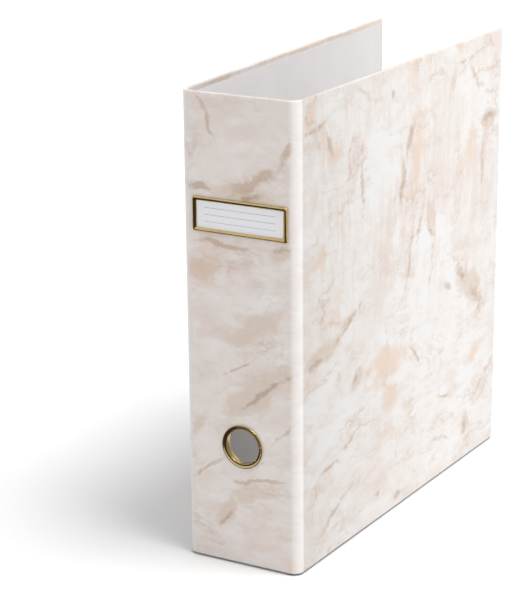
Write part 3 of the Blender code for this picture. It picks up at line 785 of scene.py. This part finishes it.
def paper_shell(panel):
    """One panel's paper: its outer face, its rounded edges and the strips turned in behind the lining."""
    bm = open_box(panel)
    cut_window(bm, panel)
    folds = [e for e in bm.edges if len(e.link_faces) == 2 and e.calc_face_angle(0) > 1]
    bmesh.ops.bevel(bm, geom=folds, offset=EDGE_ROUND, segments=EDGE_STEPS, profile=0.5, affect="EDGES")
    bm.normal_update()
    layer = bm.loops.layers.uv.new(UV_NAME)
    for face in bm.faces:
        for loop in face.loops:
            loop[layer].uv = sheet_place(panel, loop.vert.co, face.normal)
    for vert in bm.verts:
        vert.co = panel.point(*vert.co)
    bm.normal_update()
    outer = max(bm.faces, key=lambda f: f.calc_area())
    if outer.normal.dot(panel.inward) > 0:
        bmesh.ops.reverse_faces(bm, faces=bm.faces)
    made = piece(f"{panel.name}_paper", bm, LOOKS["marbled_paper"])
    shell = made.modifiers.new("paper", "SOLIDIFY")
    shell.thickness = PAPER
    shell.offset = -1
    return baked(made)


def cut_round(made, place, axis, radius):
    """Cuts a round hole through a piece."""
    reach = 20 * MM
    profile = [(0, -reach), (radius, -reach), (radius, reach), (0, reach)]
    cutter = turned("hole_cutter", profile, place, axis, None)
    hole = made.modifiers.new("hole", "BOOLEAN")
    hole.object = cutter
    hole.operation = "DIFFERENCE"
    baked(made)
    bpy.data.objects.remove(cutter)
    return soft(made)


def corner_path(cover):
    """Plan points of a corner's outer face from the spine to a cover, as (place, inward, length so far)."""
    sign = cover.sheet_sign
    first = SPINE.point(sign * SPINE_HALF, 0, 0)
    last = cover.point(cover.start, 0, 0)
    handle = QUARTER_HANDLE * COVER_START
    controls = (first, first + Vector((sign, 0, 0)) * handle, last - cover.across * handle, last)
    slopes = [b - a for a, b in zip(controls, controls[1:])]
    path = []
    length = 0.0
    for i in range(CORNER_STEPS + 1):
        t = i / CORNER_STEPS
        weights = ((1 - t) ** 3, 3 * t * (1 - t) ** 2, 3 * t * t * (1 - t), t**3)
        at = sum((c * w for c, w in zip(controls, weights)), Vector())
        along = slopes[0] * (1 - t) ** 2 + slopes[1] * 2 * t * (1 - t) + slopes[2] * t * t
        inward = Vector((-along.y, along.x, 0)).normalized() * sign
        if path:
            length += (at - path[-1][0]).length
        path.append((at, inward, length))
    return path


def edge_profile():
    """(depth, height) points round a panel's paper, from its inner face's foot outwards, up and back in."""
    near, far = EDGE_ROUND, SKIN - EDGE_ROUND
    corners = ((far, EDGE_ROUND, 0), (near, EDGE_ROUND, 270))
    corners += ((near, HEIGHT - EDGE_ROUND, 180), (far, HEIGHT - EDGE_ROUND, 90))
    points = []
    for depth, z, first in corners:
        points += arc(depth, z, EDGE_ROUND, first, first - 90, EDGE_STEPS)
    return points


def lining_profile():
    """(depth, height) points round the lining that goes round a corner."""
    outer = SKIN + LINING_GAP
    top = HEIGHT - LINING_EDGE
    return [(PANEL, LINING_EDGE), (outer, LINING_EDGE), (outer, top), (PANEL, top)]


def corner_sweep(name, cover, profile, slot):
    """A band that goes round the corner between the spine and a cover."""
    path = corner_path(cover)
    stretch = CORNER_LENGTH / path[-1][2]
    bm = bmesh.new()
    layer = bm.loops.layers.uv.new(UV_NAME)
    rings = []
    where = {}
    for at, inward, length in path:
        ring = []
        for depth, z in profile:
            vert = bm.verts.new(at + inward * depth + UP * z)
            ring.append(vert)
            where[vert] = (cover.sheet_sign * (SPINE_HALF + length * stretch), depth, z)
        rings.append(ring)
    grid_faces(bm, rings)
    bm.faces.new(rings[0])
    bm.faces.new(rings[-1])
    bmesh.ops.recalc_face_normals(bm, faces=bm.faces)
    for face in bm.faces:
        for loop in face.loops:
            across, depth, z = where[loop.vert]
            if z > HEIGHT - 2 * EDGE_ROUND:
                z += depth
            elif z < 2 * EDGE_ROUND:
                z -= depth
            loop[layer].uv = (across, z)
    made = piece(name, bm, LOOKS[slot])
    ends = [path[0][0], path[-1][0]]
    if cover is BACK:
        ends.reverse()
    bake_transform(made)
    return made


def case():
    for panel in (BACK, SPINE, FRONT):
        made = paper_shell(panel)
        if panel is SPINE:
            low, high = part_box("finger_ring")
            place = (low + high) / 2
            place.y = SPINE_LOW.y
            cut_round(made, place, Vector((0, 1, 0)), RING_HOLE)
        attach(made, panel.body)
        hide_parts(f"{panel.name}_wrap")
    for cover in (BACK, FRONT):
        strip = corner_sweep(f"{cover.name}_corner_paper", cover, edge_profile(), "marbled_paper")
        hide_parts(f"{cover.name}_hinge_strip")
        corner_sweep(f"{cover.name}_corner_lining", cover, lining_profile(), "lining_paper")


# ---- Spine fittings ----


def rounded_rectangle(half_x, half_z, radius, steps=6):
    points = []
    for quarter, (sx, sz) in enumerate(((1, 1), (-1, 1), (-1, -1), (1, -1))):
        first = 90 * quarter
        points += arc(sx * (half_x - radius), sz * (half_z - radius), radius, first, first + 90, steps)
    return points


def label_frame():
    """Pressed brass: a steep outer wall, a rounded ridge, and a slope down to the window."""
    low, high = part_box("label_frame")
    middle = (low + high) / 2
    half = (high - low) / 2
    rise = low.y - SPINE_LOW.y
    # Shares of the rail's width, from outside to inside, and of its rise from the paper
    ridge = ((0.0, 0.55), (0.05, 0.68), (0.28, 0.95), (0.36, 1.0))
    ridge += ((0.44, 0.98), (0.60, 0.86), (0.94, 0.58), (1.0, 0.50))
    section = [(0.0, FRAME_FOOT)] + [(share, rise * part) for share, part in ridge]
    section += [(1.0, FRAME_LIP), (0.55, FRAME_LIP), (0.3, FRAME_FOOT)]
    bm = bmesh.new()
    rings = []
    for share, depth in section:
        radius = FRAME_CORNER * (1 - share) + WINDOW_CORNER * share
        outline = rounded_rectangle(half.x - RAIL_X * share, half.z - RAIL_Z * share, radius)
        y = SPINE_LOW.y + depth
        rings.append([bm.verts.new((middle.x + x, y, middle.z + z)) for x, z in outline])
    grid_faces(bm, rings, close_path=True)
    bmesh.ops.recalc_face_normals(bm, faces=bm.faces)
    made = piece("label_holder", bm, LOOKS["polished_brass"])
    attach(made, "spine")
    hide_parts("label_frame")


def grid_rim(grid):
    """The vertices round the rim of a grid, which is a list of columns."""
    first, last = grid[0], grid[-1]
    inner = grid[1:-1]
    return first + [column[-1] for column in inner] + last[::-1] + [column[0] for column in inner[::-1]]


def label_insert():
    """The card, a little bowed where it is held only at its ends."""
    low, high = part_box("label_card")
    columns, rows = 24, 6
    heights = [low.z + (high.z - low.z) * j / rows for j in range(rows + 1)]
    bm = bmesh.new()
    sheets = []
    for y in (low.y, high.y - CARD_BOW):
        grid = []
        for i in range(columns + 1):
            x = low.x + (high.x - low.x) * i / columns
            lift = CARD_BOW * (1 - math.cos(2 * math.pi * i / columns)) / 2
            grid.append([bm.verts.new((x, y + CARD_BOW - lift, z)) for z in heights])
        sheets.append(grid)
    for grid in sheets:
        grid_faces(bm, grid, close_ring=False)
    grid_faces(bm, [grid_rim(grid) for grid in sheets])
    bmesh.ops.recalc_face_normals(bm, faces=bm.faces)
    made = piece("label_insert", bm, LOOKS["label_card"])
    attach(made, "spine")
    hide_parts("label_card")


def finger_ring():
    """The eyelet: a rolled rim, a slope down to a bead round the bore, and a barrel through the spine."""
    low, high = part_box("finger_ring")
    place = Vector(((low.x + high.x) / 2, SPINE_LOW.y, (low.z + high.z) / 2))
    outer = (high.x - low.x) / 2
    proud = SPINE_LOW.y - low.y
    end = SPINE_LOW.y - high.y
    bore = outer - RING_FACE
    barrel = bore + BARREL_WALL
    flange = (outer - RING_FLANGE, RING_SEAT)
    profile = [flange, (outer - 0.12 * MM, RING_SEAT)]
    profile += arc(outer - RIM_RADIUS, proud - RIM_RADIUS, RIM_RADIUS, -35, 125, 8)
    profile += [(outer - 1.05 * MM, proud - 0.45 * MM)]
    profile += [(bore + 1.0 * MM, 0.42 * MM), (bore + 0.75 * MM, 0.40 * MM)]
    profile += arc(bore + BEAD_RADIUS, BEAD_HEIGHT, BEAD_RADIUS, 20, 180, 7)
    profile += [(bore, end + 0.5 * MM), (bore + 0.25 * MM, end), (barrel, end), (barrel, BARREL_TOP)]
    profile += [(barrel + 0.5 * MM, -0.1 * MM), flange]
    made = turned("finger_eyelet", profile, place, Vector((0, -1, 0)), LOOKS["polished_brass"])
    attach(made, "spine")
    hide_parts("finger_ring")
    finger_ring_washer(place, barrel + WASHER_GAP)


def finger_ring_washer(place, hole):
    low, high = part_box("finger_ring_washer")
    wide = (high.x - low.x) / 2
    top, bottom = SPINE_LOW.y - low.y, SPINE_LOW.y - high.y
    profile = [(hole, top), (wide, top), (wide, bottom + WASHER_CHAMFER), (wide - WASHER_CHAMFER, bottom)]
    profile += [(hole + WASHER_CHAMFER, bottom), (hole, bottom + WASHER_CHAMFER), (hole, top)]
    made = turned("finger_eyelet_washer", profile, place, Vector((0, -1, 0)), LOOKS["polished_brass"])
    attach(made, "spine")
    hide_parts("finger_ring_washer")


# ---- CAD nodes that stay ----


def dress_cad_nodes():
    """Gives each CAD node its look, and softens the edges of the metal ones that show."""
    slots = {part["node"]: part["material_slot"] for part in frame["record"]["subparts"]}
    for name, node in frame["nodes"].items():
        node.data.materials.clear()
        node.data.materials.append(LOOKS[slots[name]])
        if node.hide_render or slots[name] != "nickel_plate":
            continue
        weld = node.modifiers.new("weld", "WELD")
        weld.merge_threshold = WELD
        edge = node.modifiers.new("edge", "BEVEL")
        edge.width = SOFT_EDGE
        edge.segments = 2
        edge.limit_method = "ANGLE"
        edge.angle_limit = CREASE
        edge.harden_normals = True


# ---- Studio ----


def camera():
    data = bpy.data.cameras.new("camera")
    data.lens = CAMERA_LENS
    data.sensor_width = CAMERA_SENSOR
    made = bpy.data.objects.new("camera", data)
    SCENE.collection.objects.link(made)
    level = math.cos(CAMERA_ELEVATION)
    x, y = math.sin(CAMERA_AZIMUTH) * level, -math.cos(CAMERA_AZIMUTH) * level
    back = Vector((x, y, math.sin(CAMERA_ELEVATION)))
    right = (-back).cross(UP).normalized()
    up = right.cross(-back)
    rolled_right = right * math.cos(CAMERA_ROLL) + up * math.sin(CAMERA_ROLL)
    rolled_up = up * math.cos(CAMERA_ROLL) - right * math.sin(CAMERA_ROLL)
    axes = Matrix((rolled_right, rolled_up, back)).transposed()
    made.matrix_world = Matrix.Translation(CAMERA_PLACE) @ axes.to_4x4()
    SCENE.camera = made


def floor():
    bm = bmesh.new()
    bmesh.ops.create_grid(bm, x_segments=1, y_segments=1, size=FLOOR_HALF)
    bmesh.ops.translate(bm, vec=(0, 0, -FLOOR_GAP), verts=bm.verts)
    look = Look("floor")
    tone = look.mix(look.noise(look.place(), 2, 2), (0.90, 0.90, 0.90), (0.91, 0.91, 0.91))
    made = piece("floor", bm, look.finish(tone, 0.9, Specular_IOR_Level=0.1))
    made.visible_glossy = False


def key_light():
    """A soft light from the right."""
    sun = bpy.data.lights.new("key", "SUN")
    sun.energy = SUN_STRENGTH
    sun.angle = SUN_WIDTH
    key = bpy.data.objects.new("key", sun)
    SCENE.collection.objects.link(key)
    key.rotation_euler = SUN_FROM.to_track_quat("Z", "Y").to_euler()


def sky():
    """A pale dome with a dark patch low in front, which the metal and the film reflect."""
    world = bpy.data.worlds.new("studio")
    SCENE.world = world
    world.use_nodes = True
    tree = world.node_tree
    background = tree.nodes["Background"]
    background.inputs["Strength"].default_value = SKY_STRENGTH
    direction = tree.nodes.new("ShaderNodeTexCoord")
    facing = tree.nodes.new("ShaderNodeVectorMath")
    facing.operation = "DOT_PRODUCT"
    facing.inputs[1].default_value = DARK_TOWARD.normalized()
    shade = tree.nodes.new("ShaderNodeMapRange")
    shade.interpolation_type = "SMOOTHSTEP"
    shade.inputs["From Min"].default_value, shade.inputs["From Max"].default_value = DARK_EDGE
    tint = tree.nodes.new("ShaderNodeMix")
    tint.data_type = "RGBA"
    tint.inputs[6].default_value = SKY_PALE
    tint.inputs[7].default_value = SKY_DARK
    tree.links.new(direction.outputs["Generated"], facing.inputs[0])
    tree.links.new(facing.outputs["Value"], shade.inputs["Value"])
    tree.links.new(shade.outputs[0], tint.inputs[0])
    tree.links.new(tint.outputs[2], background.inputs["Color"])


case()
label_frame()
label_insert()
finger_ring()
dress_cad_nodes()
camera()
floor()
key_light()
sky()
SCENE.view_settings.view_transform = "Standard"
